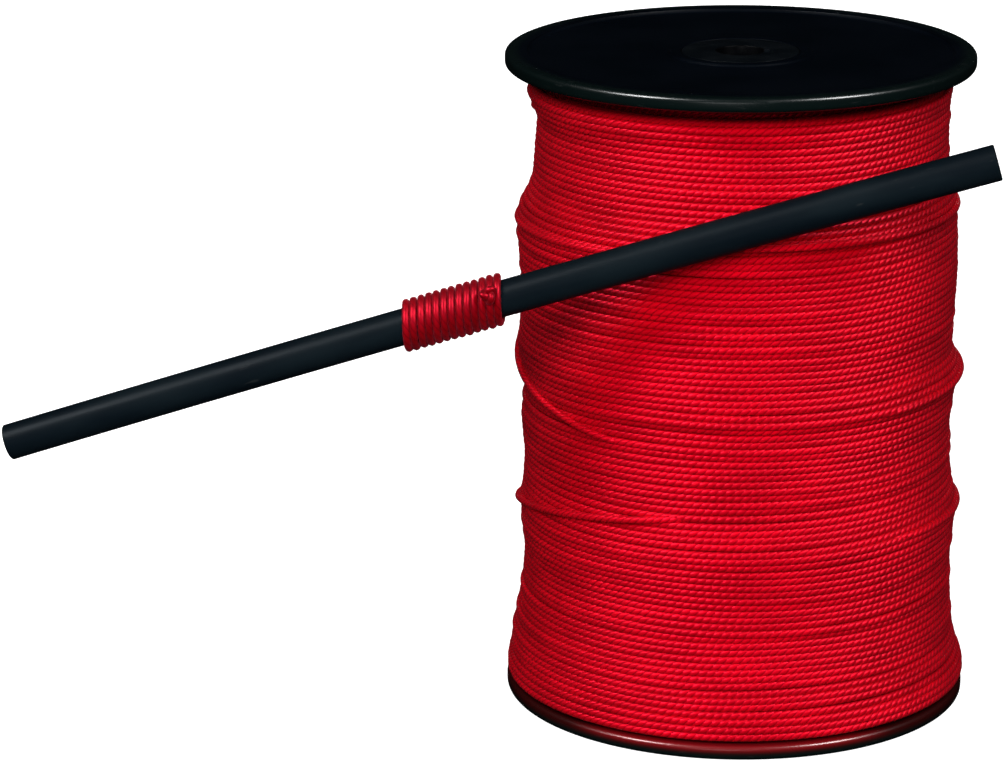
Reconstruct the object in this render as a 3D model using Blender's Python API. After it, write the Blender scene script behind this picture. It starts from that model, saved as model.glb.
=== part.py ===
"""A two-flange line reel with a fish rod whipped to the free end of its line.

The reel stands on its lower flange, with its axis on +Z and its base at the
origin.  Lengths are in metres.  The rod rises towards +X in front of the reel,
on the -Y side.
"""
import math

import bmesh
import bpy
from mathutils import Matrix, Vector

# Reel
REEL_HEIGHT = 0.1135
FLANGE_RADIUS = 0.040
FLANGE_THICKNESS = 0.0025
RIM_ROUNDING = 0.0008
RIM_LAND = 0.0036
WEB_RECESS = 0.0006
GAP = 0.0003

# Barrel between the flanges, and the spigots that centre it
BARREL_RADIUS = 0.016
BARREL_WALL = 0.002
SPIGOT_WALL = 0.002
SPIGOT_DEPTH = 0.0065
ANCHOR_HOLE_RADIUS = 0.001
ANCHOR_HEIGHT = 0.012
ANCHOR_AZIMUTH = math.radians(200)

# Arbor sleeve that the reel turns on
ARBOR_RADIUS = 0.006
ARBOR_BORE_RADIUS = 0.004
ARBOR_SHOULDER_RADIUS = 0.010
ARBOR_SHOULDER_THICKNESS = 0.001
ARBOR_INSET = 0.0002
HUB_RADIUS = 0.0088
HUB_DEPTH = 0.008
HUB_LAND = 0.0017
KEYWAY_WIDTH = 0.0024
KEYWAY_DEPTH = 0.001

# Line
LINE_DIAMETER = 0.0012
WINDING_BASE = FLANGE_THICKNESS + GAP
WINDING_TOP = REEL_HEIGHT - FLANGE_THICKNESS - GAP
# Height and radius where the wound line's side swells or narrows, bottom to top
WINDING_OUTLINE = (
    (WINDING_BASE, 0.0398),
    (0.0055, 0.0397),
    (0.0090, 0.0390),
    (0.0135, 0.0381),
    (0.0225, 0.0373),
    (0.0340, 0.0381),
    (0.0480, 0.0372),
    (0.0580, 0.0380),
    (0.0660, 0.0374),
    (0.0780, 0.0378),
    (0.0860, 0.0378),
    (0.0905, 0.0357),
    (0.1040, 0.0354),
    (0.1078, 0.0362),
    (0.1094, 0.0351),
    (WINDING_TOP, 0.0336),
)
ANCHOR_KNOT_RADIUS = 0.0017

# Fish rod, a straight rod with a slight upward bow
ROD_RADIUS = 0.003
ROD_SHEATH_BORE = 0.0023
ROD_CORE_RADIUS = 0.002
ROD_LENGTH = 0.1695
ROD_RISE = math.radians(16.95)
ROD_BOW = 0.00065
ROD_FOOT = Vector((-0.1203, -0.0407, 0.0543))

# Whipping of line round the rod, measured along the rod from its foot
WHIPPING_CENTRE = 0.0779
WHIPPING_LENGTH = 0.0178
WHIPPING_RADIUS = 0.0044
KNOT_STATION = WHIPPING_CENTRE + 0.0070
KNOT_SIZE = Vector((0.0013, 0.0017, 0.0019))
KNOT_TILT = math.radians(28)

# Route of the line from the winding to the whipping, along the rod's lower back
LEAD_ROUTE = (
    (0.0012, -0.03835, 0.0883),
    (-0.0060, -0.03835, 0.0864),
    (-0.0140, -0.03835, 0.0841),
    (-0.0220, -0.03835, 0.0817),
    (-0.0300, -0.03835, 0.0793),
    (-0.0361, -0.03835, 0.0774),
)
LEAD_POINTS_PER_SPAN = 3

RING_SEGMENTS = 64
WINDING_SEGMENTS = 48
SMALL_SEGMENTS = 40
ROD_SEGMENTS = 24
ROD_STEPS = 10
CORE_SEGMENTS = 16
SHARP_ANGLE = math.radians(35)


def clear_scene():
    for obj in list(bpy.data.objects):
        bpy.data.objects.remove(obj, do_unlink=True)


def make_material(name, colour, roughness, metallic=0.0):
    material = bpy.data.materials.new(name)
    material.use_nodes = True
    shader = material.node_tree.nodes["Principled BSDF"]
    shader.inputs["Base Color"].default_value = (*colour, 1.0)
    shader.inputs["Roughness"].default_value = roughness
    shader.inputs["Metallic"].default_value = metallic
    return material


def finish_object(name, bm, material):
    """Turn a bmesh into a named object, smooth where it is round."""
    bmesh.ops.recalc_face_normals(bm, faces=bm.faces)
    mesh = bpy.data.meshes.new(name)
    bm.to_mesh(mesh)
    bm.free()
    mesh.shade_smooth()
    mesh.set_sharp_from_angle(angle=SHARP_ANGLE)
    mesh.materials.append(material)
    obj = bpy.data.objects.new(name, mesh)
    bpy.context.scene.collection.objects.link(obj)
    return obj


def turned(name, outline, segments, material):
    """Spin a closed outline of (radius, height) points about Z."""
    bm = bmesh.new()
    verts = [bm.verts.new((radius, 0.0, height)) for radius, height in outline]
    edges = [
        bm.edges.new((vert, verts[(index + 1) % len(verts)]))
        for index, vert in enumerate(verts)
    ]
    bmesh.ops.spin(
        bm,
        geom=verts + edges,
        axis=(0, 0, 1),
        cent=(0, 0, 0),
        steps=segments,
        angle=math.tau,
    )
    bmesh.ops.remove_doubles(bm, verts=bm.verts, dist=1e-6)
    return finish_object(name, bm, material)


def corner_arc(centre, radius, start, end, steps=2):
    """Points of a quarter circle, for a rounded corner of a turned outline."""
    angles = [start + (end - start) * step / steps for step in range(steps + 1)]
    return [
        (centre[0] + radius * math.cos(angle), centre[1] + radius * math.sin(angle))
        for angle in angles
    ]


def smooth_line(points, per_span):
    """A Catmull-Rom curve through the points, as a list of vectors."""
    knots = [Vector(point) for point in points]
    knots = [2 * knots[0] - knots[1], *knots, 2 * knots[-1] - knots[-2]]
    curve = []
    for before, start, end, after in zip(knots, knots[1:], knots[2:], knots[3:]):
        for step in range(per_span):
            t = step / per_span
            curve.append(
                0.5
                * (
                    2 * start
                    + (end - before) * t
                    + (2 * before - 5 * start + 4 * end - after) * t**2
                    + (3 * start - before - 3 * end + after) * t**3
                )
            )
    curve.append(knots[-2])
    return curve


def cut_away(obj, cutter):
    """Leave an exact Boolean difference on the object and hide its cutter."""
    cutter.hide_render = True
    cutter.display_type = "WIRE"
    modifier = obj.modifiers.new("cut", "BOOLEAN")
    modifier.operation = "DIFFERENCE"
    modifier.object = cutter


def flange_outline():
    """Half section of a flange as (radius, depth), depth from its outer face inwards."""
    edge = FLANGE_RADIUS - RIM_ROUNDING
    bore = ARBOR_RADIUS + GAP
    seat = ARBOR_INSET + ARBOR_SHOULDER_THICKNESS + GAP
    counterbore = ARBOR_SHOULDER_RADIUS + GAP
    land = counterbore + HUB_LAND
    web = FLANGE_RADIUS - RIM_LAND
    spigot = BARREL_RADIUS - BARREL_WALL - GAP
    spigot_bore = spigot - SPIGOT_WALL
    slope = WEB_RECESS - ARBOR_INSET
    return [
        (bore, seat),
        (counterbore, seat),
        (counterbore, ARBOR_INSET),
        (land, ARBOR_INSET),
        (land + slope, WEB_RECESS),
        (web - WEB_RECESS, WEB_RECESS),
        (web, 0.0),
        *corner_arc((edge, RIM_ROUNDING), RIM_ROUNDING, -math.pi / 2, 0.0),
        *corner_arc(
            (edge, FLANGE_THICKNESS - RIM_ROUNDING), RIM_ROUNDING, 0.0, math.pi / 2
        ),
        (spigot, FLANGE_THICKNESS),
        (spigot, SPIGOT_DEPTH),
        (spigot_bore, SPIGOT_DEPTH),
        (spigot_bore, FLANGE_THICKNESS),
        (HUB_RADIUS, FLANGE_THICKNESS),
        (HUB_RADIUS, HUB_DEPTH),
        (bore, HUB_DEPTH),
    ]


def make_flanges(material):
    outline = flange_outline()
    turned("lower_flange", outline, RING_SEGMENTS, material)
    upper = [(radius, REEL_HEIGHT - depth) for radius, depth in outline]
    turned("upper_flange", upper, RING_SEGMENTS, material)


def make_barrel(material):
    inner = BARREL_RADIUS - BARREL_WALL
    outline = [
        (inner, WINDING_BASE),
        (BARREL_RADIUS, WINDING_BASE),
        (BARREL_RADIUS, WINDING_TOP),
        (inner, WINDING_TOP),
    ]
    barrel = turned("core_barrel", outline, SMALL_SEGMENTS, material)
    hole = bmesh.new()
    bmesh.ops.create_cone(
        hole,
        cap_ends=True,
        segments=12,
        radius1=ANCHOR_HOLE_RADIUS,
        radius2=ANCHOR_HOLE_RADIUS,
        depth=3 * BARREL_WALL,
        matrix=anchor_matrix(BARREL_RADIUS - BARREL_WALL / 2),
    )
    cut_away(barrel, finish_object("anchor_hole_cutter", hole, material))


def anchor_matrix(radius):
    """Place +Z of a local shape along the anchor hole, at a radius from the axis."""
    out = Vector((math.cos(ANCHOR_AZIMUTH), math.sin(ANCHOR_AZIMUTH), 0.0))
    turn = Matrix.Rotation(ANCHOR_AZIMUTH, 4, "Z") @ Matrix.Rotation(math.pi / 2, 4, "Y")
    return Matrix.Translation(out * radius + Vector((0, 0, ANCHOR_HEIGHT))) @ turn


def make_anchor_knot(material):
    """Stopper knot inside the barrel, with the line's start out through the hole."""
    knot_radius = BARREL_RADIUS - BARREL_WALL - GAP - ANCHOR_KNOT_RADIUS
    tail = LINE_DIAMETER / 2
    tail_start = math.asin(tail / ANCHOR_KNOT_RADIUS)
    outline = [
        (
            ANCHOR_KNOT_RADIUS * math.sin(angle),
            ANCHOR_KNOT_RADIUS * math.cos(angle),
        )
        for angle in [
            tail_start + (math.pi - tail_start) * step / 8 for step in range(9)
        ]
    ]
    outline[-1] = (0.0, -ANCHOR_KNOT_RADIUS)
    end = BARREL_RADIUS - knot_radius
    outline = [(0.0, end), (tail, end), *outline]
    bm = bmesh.new()
    verts = [bm.verts.new((radius, 0.0, height)) for radius, height in outline]
    edges = [bm.edges.new(pair) for pair in zip(verts, verts[1:])]
    bmesh.ops.spin(
        bm,
        geom=verts + edges,
        axis=(0, 0, 1),
        cent=(0, 0, 0),
        steps=14,
        angle=math.tau,
    )
    bmesh.ops.remove_doubles(bm, verts=bm.verts, dist=1e-6)
    bmesh.ops.transform(bm, matrix=anchor_matrix(knot_radius), verts=bm.verts)
    finish_object("line_anchor_knot", bm, material)


def make_arbor(sleeve_material, ring_material):
    """Keyed sleeve with a shoulder on top, held below by a push-on ring."""
    top = REEL_HEIGHT - ARBOR_INSET
    outline = [
        (ARBOR_BORE_RADIUS, ARBOR_INSET),
        (ARBOR_RADIUS, ARBOR_INSET),
        (ARBOR_RADIUS, top - ARBOR_SHOULDER_THICKNESS),
        (ARBOR_SHOULDER_RADIUS, top - ARBOR_SHOULDER_THICKNESS),
        (ARBOR_SHOULDER_RADIUS, top),
        (ARBOR_BORE_RADIUS, top),
    ]
    sleeve = turned("arbor_sleeve", outline, SMALL_SEGMENTS, sleeve_material)
    keyway = bmesh.new()
    bmesh.ops.create_cube(keyway, size=1.0)
    bmesh.ops.scale(
        keyway,
        vec=(2 * KEYWAY_DEPTH, KEYWAY_WIDTH, 2 * REEL_HEIGHT),
        verts=keyway.verts,
    )
    bmesh.ops.translate(
        keyway,
        vec=(ARBOR_BORE_RADIUS, 0.0, REEL_HEIGHT / 2),
        verts=keyway.verts,
    )
    cut_away(sleeve, finish_object("keyway_cutter", keyway, sleeve_material))

    ring_bore = ARBOR_RADIUS + GAP
    ring_top = ARBOR_INSET + ARBOR_SHOULDER_THICKNESS
    ring = [
        (ring_bore, ARBOR_INSET),
        (ARBOR_SHOULDER_RADIUS, ARBOR_INSET),
        (ARBOR_SHOULDER_RADIUS, ring_top),
        (ring_bore, ring_top),
    ]
    turned("arbor_retaining_ring", ring, SMALL_SEGMENTS, ring_material)


def make_winding(material):
    inner = BARREL_RADIUS + GAP
    side = [(radius, height) for height, radius in WINDING_OUTLINE]
    outline = [(inner, WINDING_BASE), *side, (inner, WINDING_TOP)]
    turned("line_winding", outline, WINDING_SEGMENTS, material)


def rod_frame(station):
    """Matrix at a distance along the rod: X along it, Y level, Z square to both."""
    along = Vector((math.cos(ROD_RISE), 0.0, math.sin(ROD_RISE)))
    square = Vector((-math.sin(ROD_RISE), 0.0, math.cos(ROD_RISE)))
    part = station / ROD_LENGTH
    bow = 4 * ROD_BOW * part * (1 - part)
    slope = 4 * ROD_BOW * (1 - 2 * part) / ROD_LENGTH
    place = ROD_FOOT + along * station + square * bow
    forward = (along + square * slope).normalized()
    level = Vector((0.0, 1.0, 0.0))
    frame = Matrix((forward, level, forward.cross(level))).transposed().to_4x4()
    frame.translation = place
    return frame


def rod_ring(bm, station, radius, sides):
    frame = rod_frame(station)
    angles = [math.tau * side / sides for side in range(sides)]
    return [
        bm.verts.new(frame @ Vector((0, radius * math.cos(a), radius * math.sin(a))))
        for a in angles
    ]


def bridge(bm, first, second):
    count = len(first)
    for side in range(count):
        after = (side + 1) % count
        bm.faces.new((first[side], first[after], second[after], second[side]))


def along_rod(name, start, length, radius, bore, sides, steps, material):
    """A rod, or a tube where it has a bore, that follows the fish rod's bow."""
    stations = [start + length * step / steps for step in range(steps + 1)]
    bm = bmesh.new()
    outer = [rod_ring(bm, station, radius, sides) for station in stations]
    for first, second in zip(outer, outer[1:]):
        bridge(bm, first, second)
    if bore:
        inner = [rod_ring(bm, station, bore, sides) for station in stations]
        for first, second in zip(inner, inner[1:]):
            bridge(bm, first, second)
        bridge(bm, outer[0], inner[0])
        bridge(bm, outer[-1], inner[-1])
    else:
        bm.faces.new(outer[0])
        bm.faces.new(outer[-1])
    return finish_object(name, bm, material)


def make_rod(sheath_material, core_material):
    along_rod(
        "fish_rod_sheath",
        0.0,
        ROD_LENGTH,
        ROD_RADIUS,
        ROD_SHEATH_BORE,
        ROD_SEGMENTS,
        ROD_STEPS,
        sheath_material,
    )
    along_rod(
        "fish_rod_core",
        0.0,
        ROD_LENGTH,
        ROD_CORE_RADIUS,
        None,
        CORE_SEGMENTS,
        ROD_STEPS,
        core_material,
    )


def make_whipping(material):
    """Tight turns of line round the rod, finished with a knot on the front."""
    along_rod(
        "rod_whipping",
        WHIPPING_CENTRE - WHIPPING_LENGTH / 2,
        WHIPPING_LENGTH,
        WHIPPING_RADIUS,
        ROD_RADIUS + GAP,
        ROD_SEGMENTS,
        3,
        material,
    )
    frame = rod_frame(KNOT_STATION)
    tilt = Matrix.Rotation(-KNOT_TILT, 4, "X")
    out = Vector((0.0, -WHIPPING_RADIUS - KNOT_SIZE.y * 0.45, 0.0))
    place = frame @ tilt @ Matrix.Translation(out) @ Matrix.Diagonal((*KNOT_SIZE, 1.0))
    bm = bmesh.new()
    bmesh.ops.create_uvsphere(
        bm, u_segments=14, v_segments=10, radius=1.0, matrix=place
    )
    knot = finish_object("whipping_knot", bm, material)
    clearance = along_rod(
        "whipping_clearance_cutter",
        WHIPPING_CENTRE - WHIPPING_LENGTH,
        2 * WHIPPING_LENGTH,
        WHIPPING_RADIUS + GAP,
        None,
        ROD_SEGMENTS,
        3,
        material,
    )
    cut_away(knot, clearance)


def make_lead(material):
    """The line between the winding and the whipping."""
    points = smooth_line(LEAD_ROUTE, LEAD_POINTS_PER_SPAN)
    curve = bpy.data.curves.new("line_lead", "CURVE")
    curve.dimensions = "3D"
    curve.bevel_depth = LINE_DIAMETER / 2
    curve.bevel_resolution = 2
    curve.use_fill_caps = True
    spline = curve.splines.new("POLY")
    spline.points.add(len(points) - 1)
    for place, point in zip(spline.points, points):
        place.co = (*point, 1.0)
    curve.materials.append(material)
    obj = bpy.data.objects.new("line_lead", curve)
    bpy.context.scene.collection.objects.link(obj)


def main():
    clear_scene()
    flange = make_material("flange_plastic", (0.002, 0.004, 0.008), 0.35)
    barrel = make_material("barrel_plastic", (0.02, 0.02, 0.022), 0.6)
    arbor = make_material("arbor_nylon", (0.03, 0.032, 0.035), 0.45)
    steel = make_material("ring_steel", (0.45, 0.45, 0.44), 0.3, 1.0)
    line = make_material("red_line", (0.52, 0.0, 0.012), 0.6)
    sheath = make_material("rod_sheath", (0.006, 0.01, 0.013), 0.3)
    core = make_material("rod_core", (0.02, 0.02, 0.02), 0.6)
    make_flanges(flange)
    make_barrel(barrel)
    make_arbor(arbor, steel)
    make_winding(line)
    make_anchor_knot(line)
    make_rod(sheath, core)
    make_whipping(line)
    make_lead(line)


main()
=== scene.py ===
"""Looks of the line reel with a fish rod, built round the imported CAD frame.

Lengths are in metres, in the frame's own axes: the reel stands on +Z at the
origin and the rod crosses in front of it, on the -Y side.
"""
import math

import bmesh
import bpy
import numpy as np
from mathutils import Matrix, Vector, noise


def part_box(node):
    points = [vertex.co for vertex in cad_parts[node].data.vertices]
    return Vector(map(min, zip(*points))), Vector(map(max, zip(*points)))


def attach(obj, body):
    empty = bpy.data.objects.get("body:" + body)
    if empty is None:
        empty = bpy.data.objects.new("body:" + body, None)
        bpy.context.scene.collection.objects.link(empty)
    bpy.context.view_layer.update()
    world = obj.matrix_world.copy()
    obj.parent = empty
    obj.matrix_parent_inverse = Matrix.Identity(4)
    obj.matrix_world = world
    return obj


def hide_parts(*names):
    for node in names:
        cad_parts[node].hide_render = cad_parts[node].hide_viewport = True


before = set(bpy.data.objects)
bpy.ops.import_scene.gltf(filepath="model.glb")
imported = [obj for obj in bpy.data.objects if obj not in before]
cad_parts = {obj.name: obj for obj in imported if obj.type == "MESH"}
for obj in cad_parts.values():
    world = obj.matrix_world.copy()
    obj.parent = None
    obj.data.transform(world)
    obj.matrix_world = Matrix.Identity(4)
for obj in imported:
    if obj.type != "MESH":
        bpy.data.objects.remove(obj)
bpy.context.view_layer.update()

# Sizes read from the frame
REEL_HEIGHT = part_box("upper_flange")[1].z
FLANGE_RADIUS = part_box("upper_flange")[1].x
SPIGOT_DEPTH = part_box("lower_flange")[1].z
BARREL_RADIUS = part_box("core_barrel")[1].x
WINDING_BASE, WINDING_TOP = (corner.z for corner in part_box("line_winding"))
SHOULDER_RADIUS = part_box("arbor_sleeve")[1].x
ARBOR_BASE, ARBOR_TOP = (corner.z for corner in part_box("arbor_sleeve"))
RING_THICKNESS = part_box("arbor_retaining_ring")[1].z - ARBOR_BASE

# Flanges and arbor
FLANGE_THICKNESS = 0.0025
RIM_ROUNDING = 0.0008
RIM_LAND = 0.0036
WEB_RECESS = 0.0006
BARREL_WALL = 0.002
SEAT_CLEARANCE = 0.0001
ARBOR_RADIUS = 0.006
ARBOR_BORE = 0.004
KEYWAY_WIDTH = 0.0024
KEYWAY_DEPTH = 0.001
HUB_RADIUS = 0.0088
HUB_DEPTH = 0.008

# Line
LINE = 0.0012
PLY_LAY = 3.4  # lay length of the twist, in line diameters
PLIES = 3

# Fish rod: it rises from its foot in a slight upward bow
ROD_RADIUS = 0.003
ROD_CORE_RADIUS = 0.00225
ROD_LENGTH = 0.1695
ROD_RISE = math.radians(16.95)
ROD_BOW = 0.00065
ROD_FOOT = Vector((-0.1203, -0.0407, 0.0543))

# Whipping round the rod, measured along it from its foot
WHIPPING_CENTRE = 0.0779
WHIPPING_LENGTH = 0.0178
WHIPPING_LINE = 0.0013  # the line swells a little where it is bound
WHIPPING_LEAN = 0.31  # the turns lean over towards the reel at the top

# The line's route from the winding to the whipping
LEAD_ROUTE = (
    (0.0012, -0.03835, 0.0883),
    (-0.0060, -0.03835, 0.0864),
    (-0.0140, -0.03835, 0.0841),
    (-0.0220, -0.03835, 0.0817),
    (-0.0300, -0.03835, 0.0793),
    (-0.0361, -0.03835, 0.0774),
)

# Wound line: two visible layers, and loose turns that ride on them
OUTER_PITCH = 0.001165
OUTER_WANDER = 0.00042
UNDER_PITCH = 0.00124
UNDER_WANDER = 0.0003
UNDER_SINK = 0.80 * LINE

# Start and sweep in degrees, first and last height, lift in line diameters
RIDERS = (
    (-60, 130, 0.0575, 0.0600, 0.35),
    (-50, 115, 0.0352, 0.0338, 0.35),
    (120, 150, 0.0835, 0.0862, 0.40),
    (20, 250, 0.0180, 0.0420, 0.80),
    (60, 190, 0.0760, 0.0520, 0.80),
    (25, 170, 0.0960, 0.1040, 0.80),
)

# Side of the wound line: height, radius on the left, radius on the right
WINDING_SIDES = (
    (0.0028, 0.0400, 0.0403),
    (0.0055, 0.0399, 0.0402),
    (0.0080, 0.0393, 0.0393),
    (0.0110, 0.0389, 0.0384),
    (0.0150, 0.0381, 0.0379),
    (0.0200, 0.0373, 0.0377),
    (0.0250, 0.0369, 0.0376),
    (0.0310, 0.0375, 0.0381),
    (0.0345, 0.0376, 0.0387),
    (0.0385, 0.0371, 0.0375),
    (0.0430, 0.0369, 0.0371),
    (0.0495, 0.0375, 0.0370),
    (0.0550, 0.0368, 0.0377),
    (0.0585, 0.0374, 0.0388),
    (0.0625, 0.0380, 0.0371),
    (0.0680, 0.0375, 0.0373),
    (0.0750, 0.0375, 0.0377),
    (0.0820, 0.0381, 0.0376),
    (0.0862, 0.0380, 0.0374),
    (0.0895, 0.0362, 0.0369),
    (0.0920, 0.0354, 0.0359),
    (0.0985, 0.0349, 0.0357),
    (0.1025, 0.0346, 0.0357),
    (0.1060, 0.0360, 0.0358),
    (0.1074, 0.0364, 0.0362),
    (0.1083, 0.0354, 0.0354),
    (0.1093, 0.0340, 0.0340),
    (0.1105, 0.0330, 0.0330),
)

# Camera: its place, and its turn, dip and roll in degrees
CAMERA_PLACE = (0.00626, -0.70111, 0.25689)
CAMERA_TURN = 3.847
CAMERA_DIP = 16.121
CAMERA_ROLL = -0.275
CAMERA_LENS = 150.75


# --- Camera, light and floor -------------------------------------------------


def make_camera():
    data = bpy.data.cameras.new("camera")
    data.sensor_width = 36.0
    data.lens = CAMERA_LENS
    data.clip_start = 0.05
    data.clip_end = 20.0
    camera = bpy.data.objects.new("camera", data)
    camera.matrix_world = (
        Matrix.Translation(CAMERA_PLACE)
        @ Matrix.Rotation(math.radians(CAMERA_TURN), 4, "Z")
        @ Matrix.Rotation(math.radians(90 - CAMERA_DIP), 4, "X")
        @ Matrix.Rotation(math.radians(CAMERA_ROLL), 4, "Z")
    )
    bpy.context.scene.collection.objects.link(camera)
    bpy.context.scene.camera = camera


def make_area_light(name, azimuth, elevation, distance, size, power, target_height):
    """Soft light that faces the reel; azimuth 0 is in front and 90 on the right."""
    data = bpy.data.lights.new(name, "AREA")
    data.shape = "RECTANGLE"
    data.size, data.size_y = size
    data.energy = power
    light = bpy.data.objects.new(name, data)
    turn, tilt = math.radians(azimuth), math.radians(elevation)
    away = Vector(
        (
            math.sin(turn) * math.cos(tilt),
            -math.cos(turn) * math.cos(tilt),
            math.sin(tilt),
        )
    )
    light.location = Vector((0, 0, target_height)) + away * distance
    light.rotation_euler = away.to_track_quat("Z", "Y").to_euler()
    bpy.context.scene.collection.objects.link(light)
    return light


def make_lights():
    """Broad lights in front, above and behind; three more only glint on glossy edges."""
    middle = REEL_HEIGHT / 2
    front = make_area_light("key_front", -1, 30, 1.3, (1.30, 0.56), 19.9, middle)
    front.visible_glossy = False
    overhead = make_area_light("overhead", 0, 80, 1.7, (1.8, 1.4), 3.0, middle)
    overhead.visible_glossy = False
    back = make_area_light("back_fill", 180, 10, 1.3, (0.9, 0.4), 9.0, middle)
    back.visible_glossy = False
    for name, azimuth, elevation, size, power in (
        ("glint_left", -55, 44, (0.36, 0.40), 48.0),
        ("glint_right", 60, 44, (0.38, 0.40), 49.0),
        ("glint_low", -6, 8, (0.50, 0.24), 2.8),
    ):
        glint = make_area_light(name, azimuth, elevation, 1.2, size, power, middle)
        glint.visible_diffuse = False


def make_world():
    """Pale to the eye and as fill light, dark in reflections."""
    world = bpy.data.worlds.new("studio")
    bpy.context.scene.world = world
    world.use_nodes = True
    nodes, links = world.node_tree.nodes, world.node_tree.links
    nodes.clear()
    pale = nodes.new("ShaderNodeBackground")
    pale.inputs["Color"].default_value = (1.0, 1.0, 1.0, 1.0)
    pale.inputs["Strength"].default_value = 0.12
    seen = nodes.new("ShaderNodeBackground")
    seen.inputs["Color"].default_value = (1.0, 1.0, 1.0, 1.0)
    seen.inputs["Strength"].default_value = 1.0
    dark = nodes.new("ShaderNodeBackground")
    dark.inputs["Color"].default_value = (0.5, 0.8, 1.0, 1.0)
    dark.inputs["Strength"].default_value = 0.002
    path = nodes.new("ShaderNodeLightPath")
    in_gloss = nodes.new("ShaderNodeMixShader")
    in_camera = nodes.new("ShaderNodeMixShader")
    out = nodes.new("ShaderNodeOutputWorld")
    links.new(path.outputs["Is Glossy Ray"], in_gloss.inputs[0])
    links.new(pale.outputs[0], in_gloss.inputs[1])
    links.new(dark.outputs[0], in_gloss.inputs[2])
    links.new(path.outputs["Is Camera Ray"], in_camera.inputs[0])
    links.new(in_gloss.outputs[0], in_camera.inputs[1])
    links.new(seen.outputs[0], in_camera.inputs[2])
    links.new(in_camera.outputs[0], out.inputs["Surface"])


def make_floor():
    mesh = bpy.data.meshes.new("floor")
    reach = 4.0
    corners = [(-reach, -reach), (reach, -reach), (reach, reach), (-reach, reach)]
    mesh.from_pydata([(x, y, -0.0001) for x, y in corners], [], [(0, 1, 2, 3)])
    floor = bpy.data.objects.new("floor", mesh)
    bpy.context.scene.collection.objects.link(floor)
    floor.visible_glossy = False
    floor.visible_diffuse = False
    paint = Paint("floor_paint", (0.93, 0.93, 0.93), 0.8)
    grain = paint.noise(paint.position(), 6.0, 3)
    paint.colour_from(grain, (0.925, 0.925, 0.93), (0.94, 0.94, 0.94))
    paint.set("Emission Color", (1.0, 1.0, 1.0, 1.0))
    paint.set("Emission Strength", 0.9)
    mesh.materials.append(paint.material)


# --- Materials ---------------------------------------------------------------


class Paint:
    """A Principled material, with short names for the nodes used here."""

    def __init__(self, name, colour, roughness, metallic=0.0, specular=0.5):
        self.material = bpy.data.materials.new(name)
        self.material.use_nodes = True
        self.tree = self.material.node_tree
        self.shader = self.tree.nodes["Principled BSDF"]
        self.shader.inputs["Base Color"].default_value = (*colour, 1.0)
        self.shader.inputs["Roughness"].default_value = roughness
        self.shader.inputs["Metallic"].default_value = metallic
        self.shader.inputs["Specular IOR Level"].default_value = specular

    def feed(self, value, socket):
        if isinstance(value, bpy.types.NodeSocket):
            self.tree.links.new(value, socket)
        else:
            socket.default_value = value

    def math(self, operation, first, second=0.0, third=0.0):
        node = self.tree.nodes.new("ShaderNodeMath")
        node.operation = operation
        for value, socket in zip((first, second, third), node.inputs):
            self.feed(value, socket)
        return node.outputs[0]

    def position(self):
        node = self.tree.nodes.new("ShaderNodeTexCoord")
        return node.outputs["Object"]

    def split(self, vector):
        node = self.tree.nodes.new("ShaderNodeSeparateXYZ")
        self.tree.links.new(vector, node.inputs[0])
        return node.outputs["X"], node.outputs["Y"], node.outputs["Z"]

    def axis_distance(self, place):
        """Distance from the reel's axis."""
        x, y, _ = self.split(place)
        square = self.math("MULTIPLY_ADD", x, x, self.math("MULTIPLY", y, y))
        return self.math("SQRT", square)

    def strand(self):
        """(distance along in line diameters, turn round from 0 to 1) on a strand."""
        node = self.tree.nodes.new("ShaderNodeUVMap")
        node.uv_map = "strand"
        return self.split(node.outputs["UV"])[:2]

    def combine(self, x, y, z=0.0):
        node = self.tree.nodes.new("ShaderNodeCombineXYZ")
        for value, socket in zip((x, y, z), node.inputs):
            self.feed(value, socket)
        return node.outputs[0]

    def noise(self, vector, scale, detail=2, stretch=(1, 1, 1)):
        spread = self.tree.nodes.new("ShaderNodeVectorMath")
        spread.operation = "MULTIPLY"
        self.tree.links.new(vector, spread.inputs[0])
        spread.inputs[1].default_value = stretch
        node = self.tree.nodes.new("ShaderNodeTexNoise")
        node.inputs["Scale"].default_value = scale
        node.inputs["Detail"].default_value = detail
        self.tree.links.new(spread.outputs[0], node.inputs["Vector"])
        return node.outputs["Fac"]

    def ramp(self, value, low, high, out_low=0.0, out_high=1.0):
        node = self.tree.nodes.new("ShaderNodeMapRange")
        node.interpolation_type = "SMOOTHSTEP"
        self.feed(value, node.inputs["Value"])
        for key, number in (
            ("From Min", low),
            ("From Max", high),
            ("To Min", out_low),
            ("To Max", out_high),
        ):
            node.inputs[key].default_value = number
        return node.outputs["Result"]

    def mix(self, share, first, second):
        node = self.tree.nodes.new("ShaderNodeMix")
        node.data_type = "RGBA"
        self.feed(share, node.inputs["Factor"])
        for value, socket in ((first, node.inputs["A"]), (second, node.inputs["B"])):
            colour = value if isinstance(value, bpy.types.NodeSocket) else (*value, 1.0)
            self.feed(colour, socket)
        return node.outputs["Result"]

    def colour_from(self, share, first, second):
        self.feed(self.mix(share, first, second), self.shader.inputs["Base Color"])

    def bump(self, height, distance, strength=1.0):
        node = self.tree.nodes.new("ShaderNodeBump")
        node.inputs["Distance"].default_value = distance
        node.inputs["Strength"].default_value = strength
        self.tree.links.new(height, node.inputs["Height"])
        last = self.shader.inputs["Normal"].links
        if last:
            self.tree.links.new(last[0].from_socket, node.inputs["Normal"])
        self.tree.links.new(node.outputs[0], self.shader.inputs["Normal"])

    def roughness_from(self, value):
        self.feed(value, self.shader.inputs["Roughness"])

    def set(self, socket, value):
        self.shader.inputs[socket].default_value = value


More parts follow.
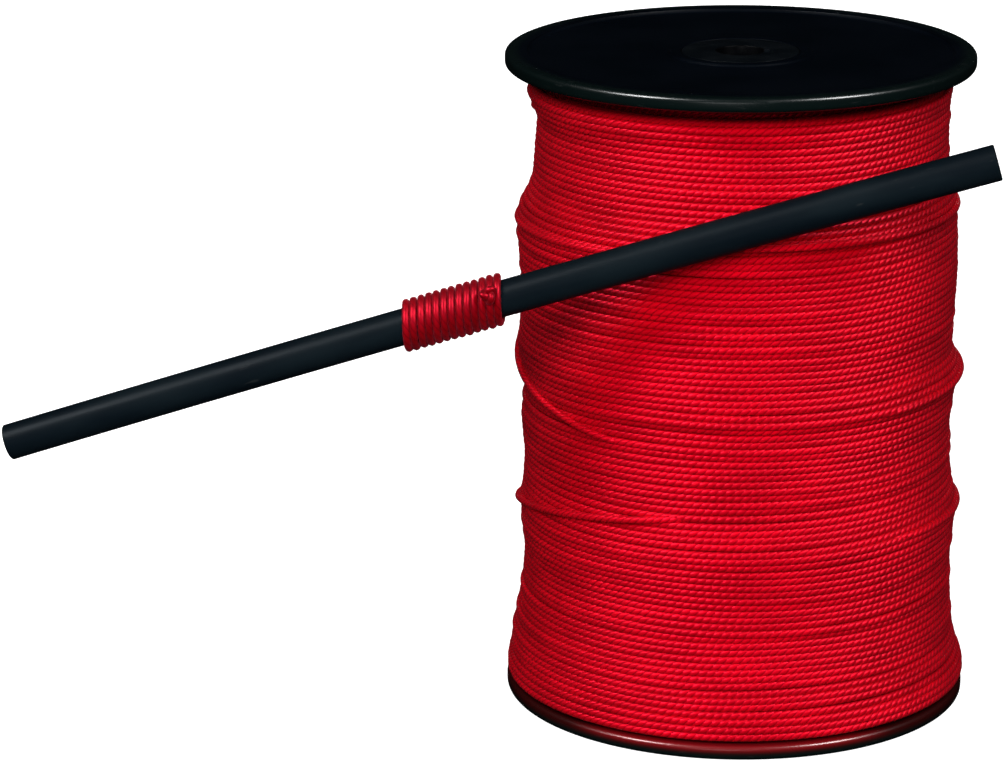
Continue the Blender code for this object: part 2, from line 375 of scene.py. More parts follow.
def line_paint(name, bright=1.0, plied_bump=True, dust=0.03):
    """Red twisted line: plies, fine fibres and slow changes of shade along it.

    It is darkened with painted shade in the narrow gap under the upper flange.
    """
    paint = Paint(name, (0.5, 0.0, 0.01), 0.46, specular=0.85)
    along, around = paint.strand()
    phase = paint.math(
        "MULTIPLY_ADD", along, PLIES / PLY_LAY, paint.math("MULTIPLY", around, PLIES)
    )
    ply = paint.math("SINE", paint.math("MULTIPLY", paint.math("FRACT", phase), math.pi))
    fibre_place = paint.combine(
        paint.math("MULTIPLY", along, 0.5), paint.math("MULTIPLY", phase, 5.0)
    )
    fibre = paint.noise(fibre_place, 1.6, 2)
    slow = paint.noise(paint.combine(along, 0.0), 0.035, 2)
    patch = paint.noise(paint.position(), 95.0, 2, (1, 1, 3))
    deep = (0.26 * bright, 0.0, 0.003 * bright)
    full = (0.50 * bright, 0.0004, 0.006 * bright)
    pale = (0.78 * bright, 0.001, 0.011 * bright)
    body = paint.mix(paint.ramp(slow, 0.32, 0.68), full, pale)
    body = paint.mix(paint.ramp(patch, 0.35, 0.75, 0.0, 0.42), body, deep)
    body = paint.mix(paint.ramp(fibre, 0.3, 0.7, 0.0, 0.22), body, deep)
    # Painted shade: the line darkens to near black in the narrow gap under the upper
    # flange.
    height = paint.split(paint.position())[2]
    gap = paint.ramp(height, WINDING_TOP - 0.0031, WINDING_TOP - 0.0018)
    painted_gap_shade = paint.math("MULTIPLY", gap, 0.85)
    body = paint.mix(painted_gap_shade, body, (0.03, 0.0, 0.001))
    # Painted shade: the grooves between the plies take the deep red.
    paint.colour_from(paint.ramp(ply, 0.0, 0.55), deep, body)
    if plied_bump:
        paint.bump(ply, 0.00013, 0.8)
    paint.bump(fibre, 0.00003, 0.7)
    paint.set("Specular Tint", (1.0, 0.0, 0.04, 1.0))
    paint.set("Sheen Weight", dust)
    paint.set("Sheen Roughness", 0.4)
    paint.set("Sheen Tint", (1.0, 0.10, 0.17, 1.0))
    return paint.material


def flange_paint():
    """Black moulded plastic, with a fine grain on the faces and a polished, scuffed rim.

    The rim is tinted teal as a painted reflection, and the lower rim carries a painted
    reflection of the red line: a dark red band all round, brighter red at the front.
    """
    paint = Paint("flange_plastic", (0.0012, 0.0022, 0.005), 0.4)
    place = paint.position()
    radius = paint.axis_distance(place)
    rim = paint.ramp(radius, FLANGE_RADIUS - 0.0032, FLANGE_RADIUS - 0.001)
    grain = paint.noise(place, 2600.0, 2)
    cloud = paint.noise(place, 60.0, 3)
    scuff = paint.noise(place, 420.0, 4, (1.0, 1.0, 6.0))
    face = paint.mix(
        paint.ramp(cloud, 0.35, 0.7), (0.0005, 0.0016, 0.0036), (0.0012, 0.0026, 0.0052)
    )
    # The rim is tinted teal as a painted reflection; its lighter scuffs are wear.
    edge = paint.mix(
        paint.ramp(scuff, 0.6, 0.8), (0.0015, 0.0052, 0.0050), (0.011, 0.015, 0.015)
    )
    _, y, height = paint.split(place)
    low_rim = paint.ramp(height, 0.02, 0.01)
    # Painted reflection of the red line: a dark red band round the lower rim.
    red_reflection_band = paint.math(
        "MULTIPLY", paint.ramp(height, 0.0006, 0.0019, 0.0, 0.9), low_rim
    )
    edge = paint.mix(red_reflection_band, edge, (0.034, 0.0014, 0.0014))
    # Painted reflection of the lit red line: brighter red at the front of the lower rim.
    front = paint.math("MULTIPLY", low_rim, paint.ramp(y, -0.028, -0.036))
    lit_red_reflection = paint.math("MULTIPLY", paint.ramp(height, 0.0011, 0.0023, 0.0, 0.95), front)
    edge = paint.mix(lit_red_reflection, edge, (0.22, 0.004, 0.007))
    paint.colour_from(rim, face, edge)
    paint.roughness_from(
        paint.math(
            "MULTIPLY_ADD", cloud, 0.10, paint.ramp(rim, 0.0, 1.0, 0.24, 0.22)
        )
    )
    gloss = paint.ramp(rim, 0.0, 1.0, 0.06, 0.18)
    paint.feed(gloss, paint.shader.inputs["Specular IOR Level"])
    paint.bump(grain, 0.00003, 0.04)
    paint.bump(cloud, 0.00012, 0.08)
    return paint.material


def barrel_paint():
    paint = Paint("barrel_plastic", (0.02, 0.02, 0.022), 0.6, specular=0.3)
    grain = paint.noise(paint.position(), 900.0, 3)
    paint.colour_from(grain, (0.014, 0.014, 0.016), (0.026, 0.026, 0.028))
    paint.bump(grain, 0.00004, 0.4)
    return paint.material


def arbor_paint():
    """Dark nylon, turned on its faces, with painted shade darkening its bore."""
    paint = Paint("arbor_nylon", (0.003, 0.004, 0.006), 0.45, specular=0.044)
    place = paint.position()
    haze = paint.noise(place, 240.0, 3)
    grain = paint.noise(place, 2400.0, 2)
    face_tone = paint.mix(
        paint.ramp(haze, 0.3, 0.7), (0.0016, 0.0028, 0.0042), (0.0034, 0.0052, 0.0072)
    )
    # Painted shade: the bore is darkened to near black.
    radius = paint.axis_distance(place)
    face = paint.ramp(radius, ARBOR_BORE + 0.0001, ARBOR_BORE + 0.0004)
    paint.colour_from(face, (0.0003, 0.0005, 0.0010), face_tone)
    paint.roughness_from(paint.ramp(haze, 0.3, 0.7, 0.30, 0.40))
    paint.bump(grain, 0.00003, 0.15)
    return paint.material


def steel_paint():
    paint = Paint("ring_steel", (0.42, 0.41, 0.39), 0.34, metallic=1.0)
    place = paint.position()
    brush = paint.noise(place, 900.0, 3, (1.0, 0.08, 1.0))
    stain = paint.noise(place, 300.0, 3)
    paint.colour_from(
        paint.ramp(stain, 0.45, 0.75), (0.44, 0.43, 0.41), (0.24, 0.22, 0.20)
    )
    paint.roughness_from(paint.ramp(brush, 0.2, 0.8, 0.28, 0.48))
    paint.bump(brush, 0.00002, 0.4)
    return paint.material


def sheath_paint():
    """Smooth black jacket with faint lines from extrusion and a few scuffs."""
    paint = Paint("rod_sheath", (0.004, 0.008, 0.010), 0.44, specular=0.014)
    place = paint.position()
    along = Matrix.Rotation(ROD_RISE, 4, "Y")
    turn = paint.tree.nodes.new("ShaderNodeMapping")
    turn.inputs["Rotation"].default_value = along.to_euler()
    paint.tree.links.new(place, turn.inputs["Vector"])
    place = turn.outputs[0]
    drawn = paint.noise(place, 1500.0, 2, (0.01, 1.0, 1.0))
    haze = paint.noise(place, 180.0, 3, (0.3, 1.0, 1.0))
    scuff = paint.noise(place, 700.0, 4, (0.25, 1.0, 1.0))
    body = paint.mix(
        paint.ramp(haze, 0.35, 0.7), (0.0030, 0.0062, 0.0094), (0.0052, 0.0100, 0.0135)
    )
    paint.colour_from(paint.ramp(scuff, 0.68, 0.8, 0.0, 0.6), body, (0.03, 0.034, 0.036))
    paint.roughness_from(paint.ramp(haze, 0.3, 0.7, 0.41, 0.48))
    paint.bump(drawn, 0.00003, 0.5)
    return paint.material


def core_paint():
    """Dark glass fibre, speckled where the rod is cut."""
    paint = Paint("rod_core", (0.02, 0.02, 0.02), 0.6, specular=0.3)
    speck = paint.noise(paint.position(), 5200.0, 2)
    paint.colour_from(
        paint.ramp(speck, 0.45, 0.7), (0.008, 0.009, 0.010), (0.05, 0.052, 0.05)
    )
    paint.bump(speck, 0.00003, 0.6)
    return paint.material


# --- Shapes ------------------------------------------------------------------


def new_piece(name, mesh, material, body, slot, *nodes):
    """Put a mesh in the scene as a piece that rides on a body and stands for nodes."""
    mesh.materials.append(material)
    piece = bpy.data.objects.new(name, mesh)
    bpy.context.scene.collection.objects.link(piece)
    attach(piece, body)
    if nodes:
        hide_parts(*nodes)
    return piece


def turned_mesh(name, outline, segments):
    """Spin a closed outline of (radius, height) points about Z."""
    count = len(outline)
    angles = [math.tau * step / segments for step in range(segments)]
    verts = [
        (radius * math.cos(angle), radius * math.sin(angle), height)
        for angle in angles
        for radius, height in outline
    ]
    faces = []
    for step in range(segments):
        near = step * count
        far = (step + 1) % segments * count
        for index in range(count):
            after = (index + 1) % count
            faces.append((near + index, far + index, far + after, near + after))
    mesh = bpy.data.meshes.new(name)
    mesh.from_pydata(verts, [], faces)
    bm = bmesh.new()
    bm.from_mesh(mesh)
    bmesh.ops.recalc_face_normals(bm, faces=bm.faces)
    bm.to_mesh(mesh)
    bm.free()
    mesh.shade_smooth()
    mesh.set_sharp_from_angle(angle=math.radians(32))
    return mesh


def arc(centre, radius, start, end, steps=6):
    """Points of an arc, with its angles in degrees."""
    angles = [
        math.radians(start + (end - start) * step / steps) for step in range(steps + 1)
    ]
    return [
        (centre[0] + radius * math.cos(angle), centre[1] + radius * math.sin(angle))
        for angle in angles
    ]


def soften(outline, rounding, steps=3):
    """Replace each corner of a closed outline with a small rounded one."""
    soft = []
    count = len(outline)
    for index, point in enumerate(outline):
        here = Vector(point)
        before = Vector(outline[index - 1]) - here
        after = Vector(outline[(index + 1) % count]) - here
        reach = min(rounding, before.length / 2.2, after.length / 2.2)
        start = here + before.normalized() * reach
        end = here + after.normalized() * reach
        for step in range(steps + 1):
            t = step / steps
            soft.append(tuple(start.lerp(here, t).lerp(here.lerp(end, t), t)))
    return soft


def smooth_line(points, per_span):
    """A Catmull-Rom curve through the points, as a list of vectors."""
    knots = [Vector(point) for point in points]
    knots = [2 * knots[0] - knots[1], *knots, 2 * knots[-1] - knots[-2]]
    curve = []
    for before, start, end, after in zip(knots, knots[1:], knots[2:], knots[3:]):
        for step in range(per_span):
            t = step / per_span
            curve.append(
                0.5
                * (
                    2 * start
                    + (end - before) * t
                    + (2 * before - 5 * start + 4 * end - after) * t**2
                    + (3 * start - before - 3 * end + after) * t**3
                )
            )
    curve.append(knots[-2])
    return curve


def unit(vectors):
    return vectors / np.linalg.norm(vectors, axis=1, keepdims=True)


def carried_normals(tangents, first):
    """Normals carried along a path without twist."""
    normals = [first - tangents[0] * (first @ tangents[0])]
    for tangent in tangents[1:]:
        normal = normals[-1] - tangent * (normals[-1] @ tangent)
        normals.append(normal / np.linalg.norm(normal))
    normals[0] = normals[0] / np.linalg.norm(normals[0])
    return np.array(normals)


def strand_mesh(
    name, path, sides, outward=None, width=LINE, depth=LINE, plied=0.0, offset=0.0
):
    """A strand of line along a path, with capped ends and a UV map named strand.

    outward gives a direction for each point that the strand's depth lies along.
    plied is how deep the grooves between its plies are, as a share of the radius.
    """
    path = np.asarray([tuple(point) for point in path], float)
    tangents = unit(np.gradient(path, axis=0))
    if outward is None:
        first = np.array((0.0, 0.0, 1.0)) if abs(tangents[0][2]) < 0.9 else np.eye(3)[0]
        normals = carried_normals(tangents, first)
    else:
        outward = np.asarray(outward, float)
        along = (outward * tangents).sum(1, keepdims=True)
        normals = unit(outward - tangents * along)
    across = np.cross(tangents, normals)
    steps = np.linalg.norm(np.diff(path, axis=0), axis=1)
    lengths = offset + np.concatenate(([0.0], np.cumsum(steps))) / LINE
    turns = np.arange(sides) / sides
    angles = math.tau * turns
    phase = lengths[:, None] * PLIES / PLY_LAY + turns[None, :] * PLIES
    shape = 1.0 - plied * (1.0 - np.abs(np.sin(math.pi * (phase % 1.0))))
    high = shape * np.cos(angles)[None, :] * depth / 2
    wide = shape * np.sin(angles)[None, :] * width / 2
    rings = (
        path[:, None, :]
        + high[:, :, None] * normals[:, None, :]
        + wide[:, :, None] * across[:, None, :]
    )
    count = len(path)
    index = np.arange(count * sides).reshape(count, sides)
    after = np.roll(index, -1, axis=1)
    quads = np.stack((index[:-1], after[:-1], after[1:], index[1:]), axis=-1)
    quads = quads.reshape(-1, 4)
    caps = [index[0][::-1].tolist(), index[-1].tolist()]
    mesh = bpy.data.meshes.new(name)
    mesh.from_pydata(rings.reshape(-1, 3), [], quads.tolist() + caps)
    u = np.repeat(lengths[:, None], sides + 1, axis=1)
    v = np.repeat(np.arange(sides + 1)[None, :] / sides, count, axis=0)
    corners = np.stack(
        (
            np.stack((u[:-1, :-1], v[:-1, :-1]), -1),
            np.stack((u[:-1, 1:], v[:-1, 1:]), -1),
            np.stack((u[1:, 1:], v[1:, 1:]), -1),
            np.stack((u[1:, :-1], v[1:, :-1]), -1),
        ),
        axis=2,
    ).reshape(-1, 2)
    ends = np.concatenate(
        (
            np.tile((lengths[0], 0.5), (sides, 1)),
            np.tile((lengths[-1], 0.5), (sides, 1)),
        )
    )
    layer = mesh.uv_layers.new(name="strand")
    layer.data.foreach_set("uv", np.concatenate((corners, ends)).ravel())
    mesh.shade_smooth()
    mesh.set_sharp_from_angle(angle=math.radians(60))
    return mesh


def join_meshes(name, meshes):
    """One mesh from several that share a UV map."""
    bm = bmesh.new()
    for mesh in meshes:
        bm.from_mesh(mesh)
        bpy.data.meshes.remove(mesh)
    joined = bpy.data.meshes.new(name)
    bm.to_mesh(joined)
    bm.free()
    return joined


# --- Reel --------------------------------------------------------------------


def flange_outline():
    """Half section of a flange as (radius, depth), depth from its outer face inwards."""
    edge = FLANGE_RADIUS - RIM_ROUNDING
    inner_edge = FLANGE_THICKNESS - RIM_ROUNDING
    bore = ARBOR_RADIUS + SEAT_CLEARANCE
    seat = ARBOR_BASE + RING_THICKNESS + SEAT_CLEARANCE
    counterbore = SHOULDER_RADIUS + SEAT_CLEARANCE
    web = FLANGE_RADIUS - RIM_LAND
    spigot = BARREL_RADIUS - BARREL_WALL - SEAT_CLEARANCE
    land = counterbore + 0.0019
    inside = [
        (bore, seat),
        (counterbore, seat),
        (counterbore, ARBOR_BASE),
        (land, ARBOR_BASE),
        (land + 0.0004, WEB_RECESS),
        (web - WEB_RECESS, WEB_RECESS),
        (web, 0.0),
        (edge, 0.0),
        (FLANGE_RADIUS, RIM_ROUNDING),
        (FLANGE_RADIUS, inner_edge),
        (edge, FLANGE_THICKNESS),
        (spigot, FLANGE_THICKNESS),
        (spigot, SPIGOT_DEPTH - 0.0015),
        (spigot - 0.002, SPIGOT_DEPTH - 0.0015),
        (spigot - 0.002, FLANGE_THICKNESS),
        (HUB_RADIUS, FLANGE_THICKNESS),
        (HUB_RADIUS, HUB_DEPTH),
        (bore, HUB_DEPTH),
    ]
    outline = soften(inside[:7], 0.00018)[4:]
    outline += arc((edge, RIM_ROUNDING), RIM_ROUNDING, -90, 0)
    outline += arc((edge, inner_edge), RIM_ROUNDING, 0, 90)
    outline += inside[11:]
    outline.append(inside[0])
    return outline


def make_flanges(material):
    outline = flange_outline()
    for name, section in (
        ("lower_flange_moulding", outline),
        ("upper_flange_moulding", [(r, REEL_HEIGHT - depth) for r, depth in outline]),
    ):
        mesh = turned_mesh(name, section, 160)
        node = name.replace("_moulding", "")
        new_piece(name, mesh, material, "reel", "flange", node)


def make_arbor(nylon, steel):
    outline = soften(
        [
            (ARBOR_BORE, ARBOR_BASE),
            (ARBOR_RADIUS, ARBOR_BASE),
            (ARBOR_RADIUS, ARBOR_TOP - RING_THICKNESS),
            (SHOULDER_RADIUS, ARBOR_TOP - RING_THICKNESS),
            (SHOULDER_RADIUS, ARBOR_TOP),
            (ARBOR_BORE, ARBOR_TOP),
        ],
        0.00025,
    )
    mesh = turned_mesh("arbor_sleeve_turning", outline, 96)
    sleeve = new_piece(
        "arbor_sleeve_turning", mesh, nylon, "arbor", "arbor", "arbor_sleeve"
    )
    cutter_mesh = bpy.data.meshes.new("keyway")
    bm = bmesh.new()
    bmesh.ops.create_cube(bm, size=1.0)
    bmesh.ops.scale(
        bm, vec=(2 * KEYWAY_DEPTH, KEYWAY_WIDTH, 2 * REEL_HEIGHT), verts=bm.verts
    )
    bmesh.ops.translate(bm, vec=(ARBOR_BORE, 0, REEL_HEIGHT / 2), verts=bm.verts)
    bm.to_mesh(cutter_mesh)
    bm.free()
    cutter = bpy.data.objects.new("keyway", cutter_mesh)
    bpy.context.scene.collection.objects.link(cutter)
    cut = sleeve.modifiers.new("keyway", "BOOLEAN")
    cut.object = cutter
    graph = bpy.context.evaluated_depsgraph_get()
    cut_mesh = bpy.data.meshes.new_from_object(sleeve.evaluated_get(graph))
    sleeve.modifiers.clear()
    sleeve.data = cut_mesh
    bpy.data.objects.remove(cutter)

    ring = soften(
        [
            (ARBOR_RADIUS + SEAT_CLEARANCE, ARBOR_BASE),
            (SHOULDER_RADIUS, ARBOR_BASE),
            (SHOULDER_RADIUS, ARBOR_BASE + RING_THICKNESS),
            (ARBOR_RADIUS + SEAT_CLEARANCE, ARBOR_BASE + RING_THICKNESS),
        ],
        0.0002,
    )
    mesh = turned_mesh("retaining_ring_pressing", ring, 96)
    new_piece(
        "retaining_ring_pressing", mesh, steel, "arbor", "ring", "arbor_retaining_ring"
    )


# --- Wound line --------------------------------------------------------------

COLUMNS = 96  # points in one turn of line
UNDER_COLUMNS = 72
SIDE_HEIGHTS, SIDE_LEFT, SIDE_RIGHT = np.array(WINDING_SIDES).T
SIDE_MEAN = np.convolve(
    np.pad((SIDE_LEFT + SIDE_RIGHT) / 2, 1, mode="edge"), (0.25, 0.5, 0.25), "valid"
)


def winding_radius(angle, height):
    """Outer radius of the wound line; angle 0 is the right side, pi the left."""
    right = ((1 + np.cos(angle)) / 2) ** 2
    left = ((1 - np.cos(angle)) / 2) ** 2
    return (
        right * np.interp(height, SIDE_HEIGHTS, SIDE_RIGHT)
        + left * np.interp(height, SIDE_HEIGHTS, SIDE_LEFT)
        + (1 - right - left) * np.interp(height, SIDE_HEIGHTS, SIDE_MEAN)
    )


def wave(values, scale, seed):
    """Smooth noise from -1 to 1 along a list of numbers."""
    return np.array([noise.noise((value * scale, seed, 0.37)) for value in values])


def blurred(values, reach):
    """Moving average with a smooth window."""
    window = np.hanning(2 * reach + 1)
    padded = np.pad(values, reach, mode="edge")
    return np.convolve(padded, window / window.sum(), "valid")


def layer_path(base, top, pitch, hand, seed, sink, wander, columns=COLUMNS):
    """Path and outward directions of one layer of turns from base up to top.

    hand is 1 or -1 for the way round, and sink is how far the layer lies below
    the surface. Where two turns come close together, the later one is lifted.
    """
    turns = round((top - base) / pitch)
    count = int(turns * columns)
    progress = np.arange(count) / columns
    angle = hand * math.tau * progress + seed
    rise = base + (top - base) * progress / turns
    loose = 0.45 * wave(progress, 0.9, seed) + 0.35 * wave(progress, 2.6, seed + 5)
    sway = np.array(
        [
            noise.noise((1.3 * math.cos(a), 1.3 * math.sin(a), z * 70 + seed))
            for a, z in zip(angle, rise)
        ]
    )
    ends = np.clip(np.minimum(rise - base, top - rise) / (3 * LINE), 0, 1)
    height = rise + wander * ends * (loose + 1.1 * sway)
    lift = np.zeros(count)
    apart = np.abs(height[columns:] - height[:-columns]) / (0.92 * LINE)
    lift[columns:] = 0.8 * LINE * np.clip(1 - apart, 0, 1) ** 0.7
    lift = blurred(lift, 4)
    slack = 0.05 * LINE * wave(progress, 3.1, seed + 9)
    radius = winding_radius(angle, height) - LINE / 2 - sink + lift + slack
    radius = blurred(radius, 2)
    outward = np.stack((np.cos(angle), np.sin(angle), np.zeros(count)), 1)
    path = outward * radius[:, None]
    path[:, 2] = height
    return path, outward


def rider_path(start_angle, sweep, low, high, lift, dive=0.12):
    """A turn that lies on the others: it rises out of the layer and dives back in."""
    count = max(24, int(abs(sweep) / math.tau * COLUMNS))
    t = np.linspace(0, 1, count)
    angle = start_angle + sweep * t
    eased = t * t * (3 - 2 * t)
    height = low + (high - low) * (0.6 * t + 0.4 * eased)
    up = np.clip(np.minimum(t, 1 - t) / dive, 0, 1)
    up = up * up * (3 - 2 * up)
    radius = winding_radius(angle, height) - LINE / 2 + lift * up - 0.7 * LINE * (1 - up)
    outward = np.stack((np.cos(angle), np.sin(angle), np.zeros(count)), 1)
    path = outward * radius[:, None]
    path[:, 2] = height
    return path, outward


def last_turn_path():
    """The outermost turn, from where the free end leaves it back into the layer."""
    start = Vector(LEAD_ROUTE[0])
    count = int(0.45 * COLUMNS)
    t = np.linspace(0, 1, count)
    start_angle = math.atan2(start.y, start.x)
    angle = start_angle + t * 0.45 * math.tau
    settle = np.clip(t / 0.75, 0, 1)
    settle = settle * settle * (3 - 2 * settle)
    height = start.z - 0.0006 * settle
    surface = winding_radius(angle, height) - 0.1 * LINE - 0.9 * LINE * t**4
    start_radius = math.hypot(start.x, start.y)
    radius = start_radius + (surface - start_radius) * settle
    outward = np.stack((np.cos(angle), np.sin(angle), np.zeros(count)), 1)
    path = outward * radius[:, None]
    path[:, 2] = height
    return path, outward


def make_winding(outer_line, under_line):
    base, top = WINDING_BASE + 0.55 * LINE, WINDING_TOP - 0.55 * LINE
    path, outward = layer_path(base, top, OUTER_PITCH, 1, 2.0, 0.0, OUTER_WANDER)
    outer = strand_mesh(
        "line_turns", path, 8, outward, width=1.15 * LINE, depth=0.92 * LINE
    )
    new_piece("line_turns", outer, outer_line, "reel", "line", "line_winding")

    path, outward = layer_path(
        base, top, UNDER_PITCH, -1, 7.0, UNDER_SINK, UNDER_WANDER, UNDER_COLUMNS
    )
    under = strand_mesh("line_under_turns", path, 6, outward, width=1.1 * LINE)
    new_piece("line_under_turns", under, under_line, "reel", "line")

    riders = [
        rider_path(math.radians(start), math.radians(sweep), low, high, lift * LINE)
        for start, sweep, low, high, lift in RIDERS
    ]
    riders.append(last_turn_path())
    meshes = [
        strand_mesh(
            f"rider_{number}", path, 10, outward, depth=0.95 * LINE, offset=40.0 * number
        )
        for number, (path, outward) in enumerate(riders)
    ]
    riding = join_meshes("line_riding_turns", meshes)
    new_piece("line_riding_turns", riding, outer_line, "reel", "line")

    heights = np.linspace(WINDING_BASE, WINDING_TOP, 60)
    inner = BARREL_RADIUS + SEAT_CLEARANCE
    outline = [(inner, WINDING_BASE)]
    outline += [
        (float(winding_radius(math.pi / 2, height)) - 1.9 * LINE, float(height))
        for height in heights
    ]
    outline.append((inner, WINDING_TOP))
    core = turned_mesh("line_inner_layers", outline, 96)
    new_piece("line_inner_layers", core, packed_line_paint(), "reel", "line")


def packed_line_paint():
    """The layers below the visible ones: close turns in shade."""
    paint = Paint("line_packed", (0.2, 0.0, 0.003), 0.8, specular=0.1)
    height = paint.split(paint.position())[2]
    turns = paint.math("MULTIPLY", height, math.pi / LINE)
    ridge = paint.math("ABSOLUTE", paint.math("SINE", turns))
    # Painted shade: the colour darkens to near black in the grooves between turns.
    paint.colour_from(ridge, (0.05, 0.0, 0.001), (0.24, 0.0, 0.004))
    paint.bump(ridge, 0.0004, 1.0)
    return paint.material


# --- Rod, whipping and lead --------------------------------------------------


def rod_frame(station):
    """Matrix at a distance along the rod: X along it, Y level, Z square to both."""
    along = Vector((math.cos(ROD_RISE), 0.0, math.sin(ROD_RISE)))
    square = Vector((-math.sin(ROD_RISE), 0.0, math.cos(ROD_RISE)))
    part = station / ROD_LENGTH
    bow = 4 * ROD_BOW * part * (1 - part)
    slope = 4 * ROD_BOW * (1 - 2 * part) / ROD_LENGTH
    forward = (along + square * slope).normalized()
    level = Vector((0.0, 1.0, 0.0))
    matrix = Matrix((forward, level, forward.cross(level))).transposed().to_4x4()
    matrix.translation = ROD_FOOT + along * station + square * bow
    return matrix


def on_rod(station, radius, angle):
    """A point at an angle round the rod; 0 is on its back and 90 degrees on top."""
    offset = Vector((0, radius * math.cos(angle), radius * math.sin(angle)))
    return rod_frame(station) @ offset


def rod_mesh(name, profile, sides, inner=None):
    """A round bar along the rod's bow from (station, radius) pairs.

    With an inner radius it is a tube, open right through.
    """
    outline = list(profile)
    if inner:
        outline += [(profile[-1][0], inner), (profile[0][0], inner)]
    angles = [math.tau * side / sides for side in range(sides)]
    verts = [
        on_rod(station, radius, angle) for station, radius in outline for angle in angles
    ]
    count = len(outline)
    spans = range(count if inner else count - 1)
    faces = []
    for span in spans:
        near, far = span * sides, (span + 1) % count * sides
        for side in range(sides):
            after = (side + 1) % sides
            faces.append((near + side, near + after, far + after, far + side))
    if not inner:
        faces.append(tuple(range(sides)))
        faces.append(tuple(range((count - 1) * sides, count * sides)))
    mesh = bpy.data.meshes.new(name)
    mesh.from_pydata(verts, [], faces)
    bm = bmesh.new()
    bm.from_mesh(mesh)
    bmesh.ops.recalc_face_normals(bm, faces=bm.faces)
    bm.to_mesh(mesh)
    bm.free()
    mesh.shade_smooth()
    mesh.set_sharp_from_angle(angle=math.radians(35))
    return mesh


def make_rod(sheath_material, core_material):
    chamfer = 0.00018
    stations = [chamfer + (ROD_LENGTH - 2 * chamfer) * k / 48 for k in range(49)]
    profile = [(0.0, ROD_RADIUS - chamfer)]
    profile += [(station, ROD_RADIUS) for station in stations]
    profile.append((ROD_LENGTH, ROD_RADIUS - chamfer))
    bore = ROD_CORE_RADIUS + 0.00003
    mesh = rod_mesh("rod_jacket", profile, 48, bore)
    new_piece(
        "rod_jacket", mesh, sheath_material, "reel", "rod_sheath", "fish_rod_sheath"
    )
    inset = 0.00015
    stations = [inset + (ROD_LENGTH - 2 * inset) * k / 24 for k in range(25)]
    mesh = rod_mesh("rod_fibre", [(s, ROD_CORE_RADIUS) for s in stations], 32)
    new_piece("rod_fibre", mesh, core_material, "reel", "rod_core", "fish_rod_core")


def whipping_path():
    """Close turns of line round the rod, from the lead's end to the far end."""
    right = WHIPPING_CENTRE + WHIPPING_LENGTH / 2
    turns = WHIPPING_LENGTH / WHIPPING_LINE - 1
    count = int(turns * 48)
    start_angle = math.radians(-54)
    points, outward = [], []
    for step in range(count + 1):
        t = step / count
        angle = start_angle - math.tau * turns * t
        slip = 0.10 * LINE * noise.noise((t * turns * 0.8, 3.1, 0.2))
        lift = 0.07 * LINE * noise.noise((t * turns * 1.7, 8.4, 0.2))
        travel = (WHIPPING_LENGTH - WHIPPING_LINE) * t
        radius = ROD_RADIUS + 0.54 * WHIPPING_LINE + lift
        lean = WHIPPING_LEAN * radius * math.sin(angle)
        station = right - WHIPPING_LINE / 2 - travel + slip + lean
        point = on_rod(station, radius, angle)
        points.append(point)
        outward.append(point - on_rod(station, 0.0, 0.0))
    return points, outward


def tuck_route():
    """Where the line from the reel slips in under the first turns."""
    right = WHIPPING_CENTRE + WHIPPING_LENGTH / 2
    last, end = (Vector(point) for point in LEAD_ROUTE[-2:])
    back = (last - end).normalized() * 0.0004
    return [
        end + back,
        end,
        on_rod(right - 0.0009, ROD_RADIUS + 0.00064, math.radians(-52)),
        on_rod(right - 0.0018, ROD_RADIUS + 0.00055, math.radians(-53)),
        on_rod(right - 0.0028, ROD_RADIUS + 0.00040, math.radians(-54)),
    ]


def knot_path(centre, size, tilt):
    """An overhand knot with two short ends, about its centre."""
    points = []
    for step in range(97):
        t = -1.15 + 2.3 * step / 96
        phase = math.pi * t
        x = math.sin(phase) + 1.9 * math.sin(2 * phase)
        y = math.cos(phase) - 1.9 * math.cos(2 * phase)
        z = -math.sin(3 * phase)
        points.append(Vector((0.30 * x, 0.30 * y, 0.42 * z)))
    return [centre @ tilt @ (point * size) for point in points]


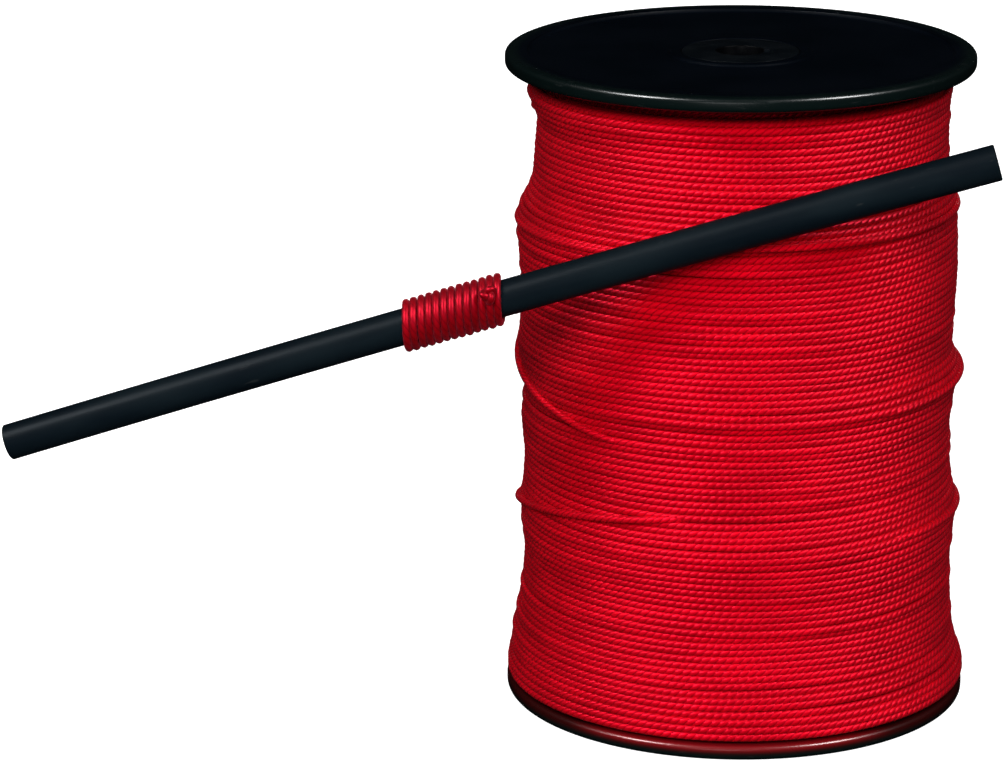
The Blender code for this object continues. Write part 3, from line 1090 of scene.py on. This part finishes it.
def make_whipping(material):
    path, outward = whipping_path()
    turns = strand_mesh(
        "whipping_helix",
        path,
        18,
        outward,
        width=WHIPPING_LINE,
        depth=WHIPPING_LINE,
        plied=0.16,
    )
    tuck = strand_mesh("whipping_tuck", smooth_line(tuck_route(), 6), 18, plied=0.14)
    mesh = join_meshes("whipping_turns", [turns, tuck])
    whipping = new_piece(
        "whipping_turns", mesh, material, "reel", "line", "rod_whipping"
    )
    station = WHIPPING_CENTRE + 0.0070
    angle = math.radians(152)
    centre = rod_frame(station)
    centre.translation = on_rod(station, ROD_RADIUS + 1.35 * LINE, angle)
    tilt = Matrix.Rotation(math.radians(62), 4, "X")
    path = knot_path(centre, 0.00125, tilt)
    mesh = strand_mesh("whipping_knot_tie", path, 14, plied=0.16, width=0.95 * LINE)
    knot = new_piece(
        "whipping_knot_tie", mesh, material, "reel", "line", "whipping_knot"
    )
    return [whipping, knot]


def make_lead(material, pieces_on_it):
    path = smooth_line(LEAD_ROUTE, 12)
    mesh = strand_mesh("line_free_end", path, 14, plied=0.14)
    lead = new_piece("line_free_end", mesh, material, "reel", "line", "line_lead")


def make_anchor_knot(material):
    low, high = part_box("line_anchor_knot")
    centre = Matrix.Translation((low + high) / 2)
    path = knot_path(centre, 0.0013, Matrix.Rotation(math.radians(90), 4, "Y"))
    mesh = strand_mesh("line_start_knot", path, 10, width=0.95 * LINE)
    new_piece("line_start_knot", mesh, material, "reel", "line", "line_anchor_knot")


def main():
    make_camera()
    plain_line = line_paint("red_line")
    # The lead, whipping and knot take a darker copy of the red line, as painted shade.
    shaded_plied_line = line_paint("red_line_plied_shaded", bright=0.37, plied_bump=False, dust=0.3)
    make_lead(shaded_plied_line, make_whipping(shaded_plied_line))
    make_rod(sheath_paint(), core_paint())
    make_world()
    make_lights()
    make_floor()
    make_flanges(flange_paint())
    make_arbor(arbor_paint(), steel_paint())
    make_winding(plain_line, line_paint("red_line_shaded", bright=0.85))
    make_anchor_knot(plain_line)
    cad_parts["core_barrel"].data.materials.clear()
    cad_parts["core_barrel"].data.materials.append(barrel_paint())
    bpy.context.scene.view_settings.view_transform = "Standard"


main()
